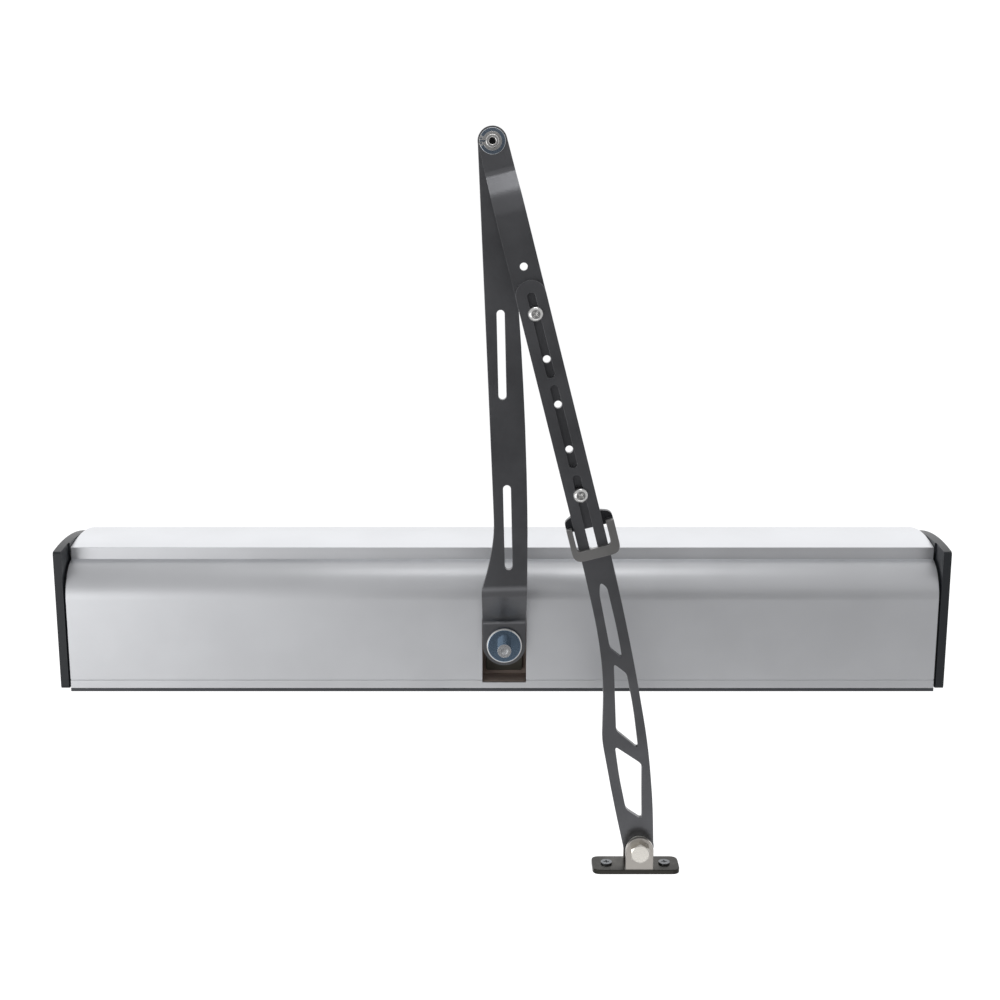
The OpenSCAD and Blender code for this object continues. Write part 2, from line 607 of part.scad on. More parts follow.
// Guide loop: wings on the upper bar's end, two side arms and a front bar round the lower bar
module guide_loop() color([0.42, 0.42, 0.43]) forearm_frame() {
    front = lower_near - gap - 4;
    for (side = [0, 1]) {
        turn = side * 2 - 1;
        // wing beside the bar
        translate([0, 0, upper_near]) linear_extrude(arm_t) polygon(rounded([
            [turn * bar_w2, 259.5, 0], [loop_out[side], 262, 7], [loop_out[side], 270, 0],
            [turn * bar_w2, 270, 0]]));
        // leg that steps down past the lower bar
        leg = side == 0 ? loop_out[0] : loop_in[1];
        translate([leg, 266, front])
            cube([abs(loop_out[side] - loop_in[side]), 5, upper_near + arm_t - front]);
    }
    // U-shaped frame in front of the lower bar
    translate([0, 0, front]) linear_extrude(4) difference() {
        polygon(rounded([[loop_out[0], 268, 0], [loop_out[0], 290, 7], [loop_out[1], 290, 7],
                         [loop_out[1], 268, 0]]));
        polygon(rounded([[loop_in[0], 267, 0], [loop_in[0], 282.8, 3], [loop_in[1], 282.8, 3],
                         [loop_in[1], 267, 0]]));
    }
}

module clamp_screws() color([0.82, 0.83, 0.85]) forearm_frame() for (s = clamp_at) translate([0, s, 0]) {
    difference() {
        union() {
            post(5.4, lower_near - gap - 2, lower_near - gap);
            post(4.6, lower_near - gap - 3.2, lower_near - gap - 2);
        }
        cross_recess(5, lower_near - gap - 3.2, 1.8);
    }
    post(clamp_d / 2, lower_near - gap, upper_far + 5);
}
module clamp_nuts() color([0.75, 0.75, 0.77]) forearm_frame() for (s = clamp_at) difference() {
    hex(8, upper_far, upper_far + 4, [0, s]);
    post(clamp_d / 2, upper_far - 1, upper_far + 5, [0, s]);
}

// Windows of the lower bar: a teardrop, then two with slanted ends
lower_windows = [
    [[-1.4, 308.5, 2.5], [2.3, 313, 3], [2, 345, 10], [0.7, 366, 2.5], [-6, 357, 3], [-3.9, 316, 4]],
    [[-6, 368.6, 2.5], [1.1, 377.8, 2.5], [-0.3, 405, 12], [-3.8, 434.5, 3], [-16, 417.6, 3], [-11.5, 396, 12]],
    [[-19.5, 428.8, 3], [-4, 446.4, 3], [-9, 467, 10], [-13.7, 488, 3], [-23, 477.6, 3], [-21.9, 452, 10]]];
module lower_arm() color([0.29, 0.29, 0.3]) forearm_frame() difference() {
    union() {
        post(bar_w2, lower_near, lower_far, [0, lower_start + bar_w2]);
        post(lower_end_r, lower_near, lower_far, shoe_at);
        translate([0, 0, lower_near]) linear_extrude(arm_t) polygon(rounded([
            [-bar_w2, lower_start + bar_w2, 0], [-bar_w2, 300, 30], [-11.6, 345, 25], [-16, 380, 30],
            [-27.4, 422, 7], [-30.4, 470, 30], [shoe_at[0] - lower_end_r, shoe_at[1], 0],
            [shoe_at[0] + lower_end_r, shoe_at[1], 0], [-3.2, 478, 25], [3.6, 435, 30], [8, 375, 40],
            [bar_w2, 310, 40], [bar_w2, lower_start + bar_w2, 0]]));
    }
    for (w = lower_windows) translate([0, 0, lower_near - 1]) linear_extrude(arm_t + 2) polygon(rounded(w));
    for (k = [0:2]) slot(slot_w / 2, [0, slot_from + slot_pitch * k + slot_w / 2],
                         [0, slot_from + slot_pitch * k + slot_len - slot_w / 2], lower_near - 1, lower_far + 1);
    post(6.5, lower_near - 1, lower_far + 1, shoe_at);
}

module at_shoe() translate([shoe[0], shoe[1], 0]) children();
module shoe_bush() color([0.75, 0.6, 0.35]) at_shoe() ring(6.5, shoe_bolt_r + fit, lower_near, lower_far);

// ---------------------------------------------------------------- door shoe
shoe_z = [shoe_mid - shoe_h / 2, shoe_mid + shoe_h / 2];
shoe_neck_r = 2.8;
module shoe_bracket() color([0.3, 0.3, 0.31]) at_shoe() difference() {
    union() {
        // plate on the door
        translate([0, shoe_out, shoe_mid]) rotate([90, 0, 0]) linear_extrude(shoe_t)
            translate([plate_shift, 0]) polygon(rounded([
                [-shoe_w / 2, -shoe_h / 2, 6], [shoe_w / 2, -shoe_h / 2, 6],
                [shoe_w / 2, shoe_h / 2, 6], [-shoe_w / 2, shoe_h / 2, 6]]));
        // two ears
        for (z = [shoe_z[0], shoe_z[1] - shoe_t]) {
            post(ear_r, z, z + shoe_t);
            translate([-ear_r, 0, z]) cube([2 * ear_r, shoe_out, shoe_t]);
        }
    }
    post(shoe_bolt_r, shoe_z[0] - 1, shoe_z[1] + 1);
    for (side = [-1, 1]) translate([plate_shift + side * shoe_screw_gap / 2, shoe_out + 1, shoe_mid])
        rotate([90, 0, 0]) cylinder(r = shoe_neck_r + 0.2, h = shoe_t + 2);
}
module shoe_bolt() color([0.85, 0.85, 0.85]) at_shoe() {
    hex(13, shoe_z[0] - 5.3, shoe_z[0], [0, 0], 30);
    post(shoe_bolt_r, shoe_z[0] - 1, shoe_z[1] + 8);
}
module shoe_nut() color([0.8, 0.8, 0.8]) at_shoe() difference() {
    hex(13, shoe_z[1], shoe_z[1] + 6.5, [0, 0], 30);
    post(shoe_bolt_r, shoe_z[1] - 1, shoe_z[1] + 9);
}
module shoe_spacers() color([0.7, 0.7, 0.68]) at_shoe() {
    ring(8, shoe_bolt_r, shoe_z[0] + shoe_t, lower_near - gap);
    ring(8, shoe_bolt_r, lower_far + gap, shoe_z[1] - shoe_t);
}
module shoe_screws() color([0.85, 0.85, 0.85]) at_shoe()
    for (side = [-1, 1]) translate([plate_shift + side * shoe_screw_gap / 2, shoe_out - shoe_t, shoe_mid])
        rotate([-90, 0, 0]) {
            difference() {
                translate([0, 0, -1.2]) cylinder(r = 4.1, h = 1.2);
                cross_recess(4, -1.2, 0.8);
            }
            translate([0, 0, -0.2]) cylinder(r = shoe_neck_r, h = shoe_t + 0.2);
            cylinder(r = 2.4, h = shoe_t + 3.5);
        }

back_plate();
end_bracket_left();
end_bracket_right();
cover();
end_cap_left();
end_cap_right();
cap_screws();
gearbox_housing();
gearbox_lid();
gearbox_screws();
bearing_retainer();
spindle_bearing_lower();
spindle_bearing_upper();
spring_housing();
motor_can();
motor_end_bell();
motor_magnets();
encoder_board();
control_board();
board_standoffs();
board_capacitors();
board_relays();
board_terminals();
board_heatsink();
transformer_core();
transformer_coil();
transformer_bracket();
mains_terminal();
fuse_holder();
cable_grommet();
motor_leads();
spindle_shaft();
output_gear();
closing_spring();
main_arm();
hub_washer();
hub_bolt();
elbow_pin();
elbow_spacer();
elbow_washer();
elbow_clip();
second_gear();
first_gear();
rotor();
forearm_bar();
elbow_bush();
guide_loop();
clamp_screws();
clamp_nuts();
lower_arm();
shoe_bush();
shoe_bracket();
shoe_bolt();
shoe_nut();
shoe_spacers();
shoe_screws();
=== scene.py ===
# %% [markdown]
# # A powered door closer, dressed and lit
# The object is a long box that hangs on the wall above a door and swings the door with a
# jointed arm of bent steel. Its engineering model arrives as a frame of finished solids
# that already sit in the right place, in metres. This notebook gives every solid a finish
# of its own, remodels the small hardware whose bevels and recesses catch the light, and
# sets the pieces up in a plain studio.

# %% Load the frame
import json
import math

import bpy
from mathutils import Matrix, Vector


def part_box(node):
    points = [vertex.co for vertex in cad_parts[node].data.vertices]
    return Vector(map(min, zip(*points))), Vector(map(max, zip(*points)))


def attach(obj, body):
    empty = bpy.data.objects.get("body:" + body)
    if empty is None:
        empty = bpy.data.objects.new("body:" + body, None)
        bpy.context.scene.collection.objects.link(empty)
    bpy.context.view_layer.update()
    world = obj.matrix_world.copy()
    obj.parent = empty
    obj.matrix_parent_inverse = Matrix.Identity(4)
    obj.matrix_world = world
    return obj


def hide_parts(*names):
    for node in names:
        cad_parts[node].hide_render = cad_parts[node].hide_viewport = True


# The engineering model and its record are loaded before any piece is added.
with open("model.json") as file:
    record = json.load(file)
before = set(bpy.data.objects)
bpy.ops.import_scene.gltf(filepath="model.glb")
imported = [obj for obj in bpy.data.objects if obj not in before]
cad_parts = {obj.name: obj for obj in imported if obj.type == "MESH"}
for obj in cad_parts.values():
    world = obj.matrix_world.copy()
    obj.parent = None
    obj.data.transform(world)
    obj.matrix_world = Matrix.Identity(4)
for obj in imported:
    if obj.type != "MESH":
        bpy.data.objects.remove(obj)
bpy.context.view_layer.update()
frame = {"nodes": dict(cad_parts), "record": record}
nodes = frame["nodes"]
print("nodes:", len(nodes))

# %% [markdown]
# ## Camera
# The view is from below and a little in front, looking up at the underside of the box with
# the arm folded out towards the room. A long lens from about a metre away keeps the box
# nearly straight while the lower parts still look larger than the wall side.

# %% Place the camera
CAMERA_PLACE = Vector((-0.0017, -0.3714, -1.111))
CAMERA_PITCH = math.radians(12)
FOCAL_LENGTH = 52.9


def make_camera():
    data = bpy.data.cameras.new("studio_camera")
    data.lens = FOCAL_LENGTH
    data.clip_start, data.clip_end = 0.01, 100
    camera = bpy.data.objects.new("studio_camera", data)
    bpy.context.scene.collection.objects.link(camera)
    back = Vector((0, -math.sin(CAMERA_PITCH), -math.cos(CAMERA_PITCH)))
    up = Vector((0, -math.cos(CAMERA_PITCH), math.sin(CAMERA_PITCH)))
    right = up.cross(back)
    turn = Matrix((right, up, back)).transposed().to_4x4()
    camera.matrix_world = Matrix.Translation(CAMERA_PLACE) @ turn
    bpy.context.scene.camera = camera
    return camera


camera = make_camera()
print("camera at", [round(v, 3) for v in camera.location])

# %% [markdown]
# ## Shader maths
# A finish is a sum of simple patterns. Writing `grain * 0.1 + 0.3` is easier to read than
# wiring two Math nodes by hand, so a small class wraps one output socket and turns Python's
# operators into Math nodes. Colours go through Mix nodes, because a Math node would make
# them grey.

# %% A wrapper for sockets and a maker of materials
class Wire:
    """One output of a node; arithmetic on it adds Math nodes."""

    def __init__(self, finish, socket):
        self.finish, self.socket = finish, socket

    def math(self, operation, *others):
        values = {0: self, **{k + 1: v for k, v in enumerate(others)}}
        return self.finish.node("Math", values, operation=operation)

    def __add__(self, other): return self.math("ADD", other)
    def __sub__(self, other): return self.math("SUBTRACT", other)
    def __mul__(self, other): return self.math("MULTIPLY", other)
    __radd__, __rmul__ = __add__, __mul__

    def __rsub__(self, other):
        return self.finish.node("Math", {0: other, 1: self}, operation="SUBTRACT")

    def clamped(self):
        return self.finish.node("Clamp", {0: self})

    def ramp(self, low, high):
        """0 below low, 1 above high, smooth in between."""
        values = {"Value": self, "From Min": low, "From Max": high}
        return self.finish.node("MapRange", values, interpolation_type="SMOOTHSTEP")


class Finish:
    """A new material with one Principled shader and easy ways to add patterns to it."""

    def __init__(self, name):
        self.material = bpy.data.materials.new(name)
        self.material.use_nodes = True
        self.tree = self.material.node_tree
        self.shader = self.tree.nodes["Principled BSDF"]
        self.place = self.node("TexCoord", output="Object")

    def connect(self, socket, value):
        if isinstance(value, Wire):
            self.tree.links.new(value.socket, socket)
        elif isinstance(value, (tuple, list)) and socket.type == "RGBA":
            socket.default_value = (*value[:3], 1)
        else:
            socket.default_value = value

    def node(self, kind, values=None, output=0, **settings):
        """A new node: its settings are set first, then the values or links of its sockets."""
        made = self.tree.nodes.new("ShaderNode" + kind)
        for name, value in settings.items():
            setattr(made, name, value)
        for name, value in (values or {}).items():
            self.connect(made.inputs[name], value)
        return Wire(self, made.outputs[output])

    def set(self, **values):
        for name, value in values.items():
            self.connect(self.shader.inputs[name.replace("_", " ")], value)
        return self

    def stretched(self, scale):
        return self.node("Mapping", {"Vector": self.place, "Scale": scale})

    def noise(self, scale, detail=2.0, where=None):
        values = {"Vector": where or self.place, "Scale": scale, "Detail": detail}
        return self.node("TexNoise", values)

    def mix(self, factor, first, second):
        """A Mix node lists its sockets once for each kind of data; 6, 7 and 2 are the colours."""
        values = {0: factor, 6: first, 7: second}
        return self.node("Mix", values, output=2, data_type="RGBA")

    def along(self, axis):
        """The object coordinate along one axis, in metres."""
        return self.node("SeparateXYZ", {0: self.place}, output=axis)

    def bump(self, height, distance, strength=1.0, under=None):
        values = {"Height": height, "Distance": distance, "Strength": strength}
        if under is not None:
            values["Normal"] = under
        return self.node("Bump", values)

    def rounded(self, radius):
        """The surface's normal as if every edge were rounded by that radius."""
        return self.node("Bevel", {"Radius": radius}, samples=6)

    def edges(self, rounded):
        """1 on sharp edges, 0 on flats: how far the rounded normal turns from the real one."""
        flat = self.node("NewGeometry", output="Normal")
        values = {0: rounded, 1: flat}
        likeness = self.node("VectorMath", values, output="Value", operation="DOT_PRODUCT")
        return (1 - likeness).ramp(0.02, 0.25)


print("shader helpers ready")

# %% [markdown]
# ## Finishes
# Three families cover the object. Bare metal is shown by how its polish changes along the
# grain; paint by its faint orange peel and by edges where it has rubbed thin; moulded
# plastic by its even spark-eroded texture. Each slot of the record gets its own member.

# %% Bare metal
PAINTED_LIGHT_BAND_BLUR = 0.0001
GRAIN_DEPTH = 0.00003


def bare_metal(name, colour, rough=0.3, grain=(60, 60, 60), spread=0.08, tone=0.06, edge=0.0006,
               real_edges=False, bright=None, painted_light_band=None):
    """The band is (axis, from, to, colour, metal): painted highlight on a rim, painted shade in a
    bore.
    """
    f = Finish(name)
    bright = bright or tuple(min(1, c * 1.2) for c in colour)  # the tone of rubbed edges
    streaks = f.noise(12.0, detail=3.0, where=f.stretched(grain))
    clouds = f.noise(22.0, detail=3.0)
    round_edge = f.rounded(edge)
    worn = f.edges(round_edge)
    dark = tuple(c * (1 - tone) for c in colour)
    light = tuple(min(1.0, c * (1 + tone)) for c in colour)
    body = f.mix(clouds.ramp(0.3, 0.7), dark, light)
    metal = 1.0
    # Painted light: inside the band the colour and metalness change, painting a highlight or a
    # shade onto the piece.
    if painted_light_band:
        axis, start, end, painted_light_colour, metal_there = painted_light_band
        along = f.along(axis)
        past_start = along.ramp(start - PAINTED_LIGHT_BAND_BLUR, start + PAINTED_LIGHT_BAND_BLUR)
        past_end = along.ramp(end - PAINTED_LIGHT_BAND_BLUR, end + PAINTED_LIGHT_BAND_BLUR)
        inside = past_start * (1 - past_end)
        body = f.mix(inside, body, painted_light_colour)
        metal = 1 - inside * (1 - metal_there)
    f.set(Base_Color=f.mix(worn * 0.6, body, bright), Metallic=metal,
          Roughness=(streaks * spread + clouds * spread * 0.5 + (rough - spread * 0.75)).clamped(),
          Normal=f.bump(streaks + clouds * 0.3, GRAIN_DEPTH, 0.3,
                        None if real_edges else round_edge))
    return f.material


# %% Dark coated steel
PAINTED_SHADE_WANDER = 0.002


def coated_steel(name, colour, rough=0.34, metal=0.85, bare=(0.42, 0.42, 0.43), wear=0.5,
                 edge=0.0008, peel=0.00002, real_edges=False, shade=None):
    """shade is (axis, from, to, colour): painted shade, the colour turns dark between two places.
    """
    f = Finish(name)
    fine = f.noise(700.0)
    clouds = f.noise(26.0, detail=4.0)
    round_edge = f.rounded(edge)
    worn = f.edges(round_edge) * (clouds.ramp(0.3, 0.7) * 0.6 + 0.4)
    dark = tuple(c * 0.88 for c in colour)
    light = tuple(c * 1.12 for c in colour)
    body = f.mix(clouds.ramp(0.25, 0.75), dark, light)
    # Painted shade: past the given place the colour darkens, with a ragged edge.
    if shade:
        axis, start, end, painted_shade_colour = shade
        painted_shade_edge = f.along(axis) + clouds * PAINTED_SHADE_WANDER - PAINTED_SHADE_WANDER / 2
        body = f.mix(painted_shade_edge.ramp(start, end), body, painted_shade_colour)
    f.set(Base_Color=f.mix(worn * wear, body, bare), Metallic=metal,
          Roughness=(clouds * 0.10 + fine * 0.06 + (rough - 0.08)).clamped(),
          Normal=f.bump(fine + clouds * 0.8, peel, 0.6, None if real_edges else round_edge))
    return f.material


# %% Moulded plastic
def plastic(name, colour, rough=0.45, grit=1500.0, depth=0.00003, edge=0.0006, tone=0.08,
            real_edges=False):
    f = Finish(name)
    fine = f.noise(grit)
    clouds = f.noise(18.0)
    round_edge = f.rounded(edge)
    worn = f.edges(round_edge)
    dark = tuple(c * (1 - tone) for c in colour)
    light = tuple(min(1, c * (1 + tone)) for c in colour)
    rubbed = tuple(min(1, c * 1.35 + 0.02) for c in colour)
    f.set(Base_Color=f.mix(worn * 0.35, f.mix(clouds, dark, light), rubbed),
          Roughness=(fine * 0.08 + clouds * 0.06 + (rough - 0.07)).clamped(),
          Normal=f.bump(fine, depth, 0.6, None if real_edges else round_edge))
    return f.material


# %% One finish for each slot
SLOT_FINISHES = {
    "zinc_steel": (bare_metal, dict(
        colour=(0.66, 0.67, 0.68), rough=0.34, grain=(30, 200, 200), spread=0.12)),
    "anodised": (bare_metal, dict(
        colour=(0.74, 0.75, 0.77), rough=0.42, grain=(1.5, 260, 260), spread=0.07, tone=0.02,
        edge=0.0006, real_edges=True)),
    "cap_plastic": (plastic, dict(
        colour=(0.014, 0.017, 0.021), rough=0.42, grit=1300.0, depth=0.00003, edge=0.0012,
        real_edges=True)),
    "screw_zinc": (bare_metal, dict(
        colour=(0.90, 0.895, 0.88), rough=0.2, grain=(300, 300, 300), spread=0.12, tone=0.04,
        edge=0.0004, real_edges=True)),
    "cast_alloy": (coated_steel, dict(
        colour=(0.52, 0.42, 0.37), rough=0.6, metal=0.2, bare=(0.6, 0.52, 0.47), wear=0.3,
        edge=0.0008, peel=0.0001)),
    "dark_plate": (coated_steel, dict(
        colour=(0.085, 0.08, 0.062), rough=0.5, metal=0.3, bare=(0.2, 0.19, 0.16), wear=0.3)),
    "bearing_steel": (bare_metal, dict(
        colour=(0.78, 0.78, 0.80), rough=0.14, grain=(200, 200, 200), spread=0.06)),
    "motor_paint": (coated_steel, dict(colour=(0.075, 0.08, 0.088), rough=0.38, metal=0.2)),
    "black_plastic": (plastic, dict(colour=(0.035, 0.035, 0.04), rough=0.42)),
    "magnet": (bare_metal, dict(colour=(0.16, 0.16, 0.17), rough=0.5)),
    "board_green": (plastic, dict(
        colour=(0.03, 0.20, 0.09), rough=0.28, grit=700.0, depth=0.00002)),
    "brass": (bare_metal, dict(colour=(0.72, 0.55, 0.28), rough=0.24)),
    "capacitor_sleeve": (plastic, dict(
        colour=(0.05, 0.06, 0.12), rough=0.25, grit=300.0, depth=0.00001)),
    "relay_blue": (plastic, dict(colour=(0.04, 0.10, 0.36), rough=0.3)),
    "terminal_green": (plastic, dict(colour=(0.04, 0.34, 0.13), rough=0.42)),
    "heatsink": (bare_metal, dict(
        colour=(0.62, 0.63, 0.65), rough=0.36, grain=(200, 2, 200), spread=0.1)),
    "laminations": (bare_metal, dict(
        colour=(0.20, 0.19, 0.18), rough=0.5, grain=(2, 900, 2), spread=0.16)),
    "winding": (bare_metal, dict(
        colour=(0.62, 0.28, 0.10), rough=0.3, grain=(2, 2, 1200), spread=0.16, tone=0.14)),
    "ivory_plastic": (plastic, dict(colour=(0.74, 0.72, 0.64), rough=0.36)),
    "rubber": (plastic, dict(colour=(0.025, 0.025, 0.025), rough=0.6, grit=700.0)),
    "lead_red": (plastic, dict(colour=(0.45, 0.03, 0.02), rough=0.38)),
    "shaft_steel": (bare_metal, dict(
        colour=(0.60, 0.61, 0.63), rough=0.26, grain=(40, 40, 900), spread=0.1)),
    "gear_steel": (bare_metal, dict(colour=(0.52, 0.53, 0.55), rough=0.3)),
    "gear_brass": (bare_metal, dict(colour=(0.68, 0.53, 0.28), rough=0.28)),
    "spring_steel": (bare_metal, dict(
        colour=(0.22, 0.26, 0.36), rough=0.28, grain=(40, 40, 400))),
    "arm_paint": (coated_steel, dict(colour=(0.15, 0.152, 0.16), rough=0.31, real_edges=True)),
    "loop_paint": (coated_steel, dict(colour=(0.34, 0.335, 0.33), rough=0.34, real_edges=True)),
    "washer_steel": (bare_metal, dict(
        colour=(0.30, 0.40, 0.52), rough=0.14, grain=(400, 400, 400), spread=0.06, tone=0.05,
        edge=0.0005, real_edges=True, bright=(0.95, 0.95, 0.93))),
    "armature": (bare_metal, dict(
        colour=(0.34, 0.24, 0.16), rough=0.5, grain=(2, 2, 1500), spread=0.16)),
    "bush_bronze": (bare_metal, dict(colour=(0.60, 0.42, 0.22), rough=0.34)),
    "nylon": (plastic, dict(colour=(0.66, 0.65, 0.60), rough=0.4, grit=500.0)),
}
finishes = {slot: maker(slot, **settings) for slot, (maker, settings) in SLOT_FINISHES.items()}
print("finishes by slot:", len(finishes))

# %% [markdown]
# ## Pieces with a look of their own
# Some pieces carry painted light in their colour. The washers have a dark, bluish face and a
# painted highlight on the rim, and the drilled pin has painted shade in its bore. The loop's
# wings carry painted shade that makes them darker than its frame, the shoe's plate carries
# painted shade that makes it darker than its ear, and the shoe's screws are zinc made dark
# as painted shade. Each painted mark follows the piece's own height or depth, so it is
# written as a band or a shade between two places.

# %% Finishes for single pieces
def lowest(node):
    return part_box(node)[0][2]


def farthest_out(node):
    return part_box(node)[1][1]


loop_low, hub_low = lowest("guide_loop"), lowest("hub_washer")
pin_low, elbow_low = lowest("elbow_pin"), lowest("elbow_washer")
shoe_far = farthest_out("shoe_bracket")
PIECE_FINISHES = {
    # Painted highlight: a near-white band on the washer's rim, just above its lowest face.
    "hub_washer": (bare_metal, "hub_washer_steel", dict(
        colour=(0.24, 0.34, 0.46), rough=0.12, grain=(400, 400, 400), spread=0.05, tone=0.05,
        edge=0.0005, real_edges=True, bright=(0.9, 0.9, 0.9),
        painted_light_band=("Z", hub_low + 0.00012, hub_low + 0.002, (0.97, 0.97, 0.95), 0.3))),
    # Painted highlight: a near-white band on the washer's rim, just above its lowest face.
    "elbow_washer": (bare_metal, "elbow_washer_steel", dict(
        colour=(0.26, 0.33, 0.42), rough=0.16, grain=(400, 400, 400), spread=0.06, tone=0.05,
        edge=0.0005, real_edges=True, bright=(0.9, 0.9, 0.9),
        painted_light_band=("Z", elbow_low + 0.00008, elbow_low + 0.01, (0.95, 0.95, 0.93), 0.3))),
    # Painted shade: a near-black band inside the pin's drilled bore.
    "elbow_pin": (bare_metal, "elbow_pin_zinc", dict(
        colour=(0.92, 0.91, 0.89), rough=0.16, grain=(300, 300, 300), spread=0.08, tone=0.04,
        edge=0.0004, real_edges=True, bright=(0.97, 0.97, 0.95),
        painted_light_band=("Z", pin_low + 0.0009, pin_low + 0.0035, (0.03, 0.03, 0.032), 0.9))),
    "elbow_clip": (bare_metal, "elbow_clip_steel", dict(
        colour=(0.75, 0.74, 0.72), rough=0.2, grain=(400, 400, 400), spread=0.06, tone=0.05,
        edge=0.0002, real_edges=True)),
    "hub_bolt": (bare_metal, "hub_bolt_zinc", dict(
        colour=(0.92, 0.93, 0.94), rough=0.14, grain=(300, 300, 300), spread=0.05, tone=0.05,
        edge=0.0004, real_edges=True)),
    # Painted shade: the shoe's screws are zinc made much darker than the other screws, standing in
    # for a dark reflection.
    "shoe_screws": (bare_metal, "shoe_screw_zinc", dict(
        colour=(0.26, 0.27, 0.28), rough=0.3, grain=(300, 300, 300), spread=0.1, tone=0.05,
        edge=0.0004, real_edges=True)),
    "shoe_bolt": (bare_metal, "shoe_bolt_zinc", dict(
        colour=(0.86, 0.83, 0.77), rough=0.26, grain=(300, 300, 300), spread=0.12, tone=0.05,
        edge=0.0004, real_edges=True)),
    # Painted shade: the loop's wings, deeper up than its frame, turn nearly black.
    "guide_loop": (coated_steel, "loop_coat", dict(
        colour=(0.30, 0.295, 0.29), rough=0.34, real_edges=True,
        shade=("Z", loop_low + 0.0045, loop_low + 0.007, (0.06, 0.062, 0.068)))),
    # Painted shade: the shoe's plate, beyond its ear, turns nearly black.
    "shoe_bracket": (coated_steel, "shoe_coat", dict(
        colour=(0.50, 0.475, 0.44), rough=0.3, bare=(0.85, 0.8, 0.72), real_edges=True,
        shade=("Y", shoe_far - 0.0045, shoe_far - 0.0034, (0.05, 0.048, 0.042)))),
}
special = {node: maker(name, **settings)
           for node, (maker, name, settings) in PIECE_FINISHES.items()}
slot_of = {part["node"]: part["material_slot"] for part in frame["record"]["subparts"]}


def finish_of(node):
    return special.get(node, finishes[slot_of[node]])


for name, thing in nodes.items():
    thing.data.materials.clear()
    thing.data.materials.append(finish_of(name))
print("finishes for single pieces:", len(special))

# %% [markdown]
# ## Softened edges
# Extruded, pressed and turned parts never end in a knife edge, and it is the small rounded
# edge that catches the light and tells the eye how thick the metal is. An engineering solid
# arrives as loose triangles, so a copy is taken, its points are merged and its flat faces
# joined, and then every sharp edge gets a real bevel. Normals weighted by face area keep the
# big flats flat. A subdivision surface would also round the edges, but it would melt the
# holes and slots.

# %% Copy a solid and soften its edges
SAME_POINT = 0.000002
SAME_FLAT = math.radians(0.5)
body_of_node = {node: body for body, members in frame["record"]["behaviour"]["bodies"].items()
                for node in members}


def select_only(piece):
    bpy.ops.object.select_all(action="DESELECT")
    piece.select_set(True)
    bpy.context.view_layer.objects.active = piece


def whole_copy(node, name):
    """A copy of an engineering solid, its triangles joined into whole faces."""
    piece = nodes[node].copy()
    piece.data = nodes[node].data.copy()
    piece.name = piece.data.name = name
    bpy.context.scene.collection.objects.link(piece)
    piece.parent = None
    select_only(piece)
    bpy.ops.object.mode_set(mode="EDIT")
    bpy.ops.mesh.select_all(action="SELECT")
    bpy.ops.mesh.remove_doubles(threshold=SAME_POINT)
    bpy.ops.mesh.normals_make_consistent(inside=False)
    bpy.ops.mesh.dissolve_limited(angle_limit=SAME_FLAT)
    bpy.ops.object.mode_set(mode="OBJECT")
    return piece


def flatten_shading(piece, smooth_below=36):
    """Rounds shade smoothly, big flats stay flat."""
    select_only(piece)
    bpy.ops.object.shade_smooth_by_angle(angle=math.radians(smooth_below))
    weights = piece.modifiers.new("weights", "WEIGHTED_NORMAL")
    weights.keep_sharp = True
    bpy.ops.object.modifier_apply(modifier=weights.name)


def soften(piece, width, segments=3, corner=38):
    """A real bevel on every edge sharper than the corner angle."""
    select_only(piece)
    edge = piece.modifiers.new("edge", "BEVEL")
    edge.width, edge.segments, edge.profile = width, segments, 0.5
    edge.limit_method, edge.angle_limit = "ANGLE", math.radians(corner)
    bpy.ops.object.modifier_apply(modifier=edge.name)
    flatten_shading(piece)


def stands_for(piece, node):
    """The piece shows in the node's place, in its finish, and moves with its body."""
    piece.data.materials.clear()
    piece.data.materials.append(finish_of(node))
    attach(piece, body_of_node[node])
    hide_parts(node)


# %% [markdown]
# The moulded caps and the thick loop have the widest radius, the flat bars a smaller one, and
# the extruded cover and the thin clip the smallest.

# %% Soften every visible solid
EDGE_WIDTHS = {
    "cover": 0.0002, "end_cap_left": 0.0016, "end_cap_right": 0.0016, "back_plate": 0.0004,
    "main_arm": 0.0005, "forearm_bar": 0.0005, "lower_arm": 0.0005, "guide_loop": 0.0018,
    "shoe_bracket": 0.0005, "hub_washer": 0.00025, "hub_bolt": 0.0009,
    "elbow_pin": 0.0006, "elbow_washer": 0.0004, "elbow_clip": 0.0002, "shoe_nut": 0.0005,
    "shoe_screws": 0.0004, "cap_screws": 0.0004, "bearing_retainer": 0.0003}
for node, width in EDGE_WIDTHS.items():
    piece = whole_copy(node, node + "_softened")
    soften(piece, width)
    stands_for(piece, node)
    print(piece.name, "faces:", len(piece.data.polygons))

# %% [markdown]
# ## The shoe's bolt
# A hexagon bolt is cut from hexagon bar, and its end is then turned to a shallow cone, so the
# face is a round disc and each flat ends in a curve. The head starts as a six-sided cylinder.
# A second, round cylinder whose end is extruded and drawn in to the cone stands in the same
# place, and a Boolean that keeps what both share gives exactly that turned shape.

# %% Turn the bolt's head
TURNED_FACE = 0.93       # the turned disc, as a share of the width across the flats
BLANK_SIZE = 1.02        # the blank reaches just past the hexagon's corners
BLANK_OVERLAP = 0.001    # the blank ends this far past the head
SHANK_END_BEVEL = 0.0006


def faces_down(face):
    return face.normal.z < -0.9


def faces_up(face):
    return face.normal.z > 0.9


def to_object_mode():
    bpy.ops.object.mode_set(mode="OBJECT")


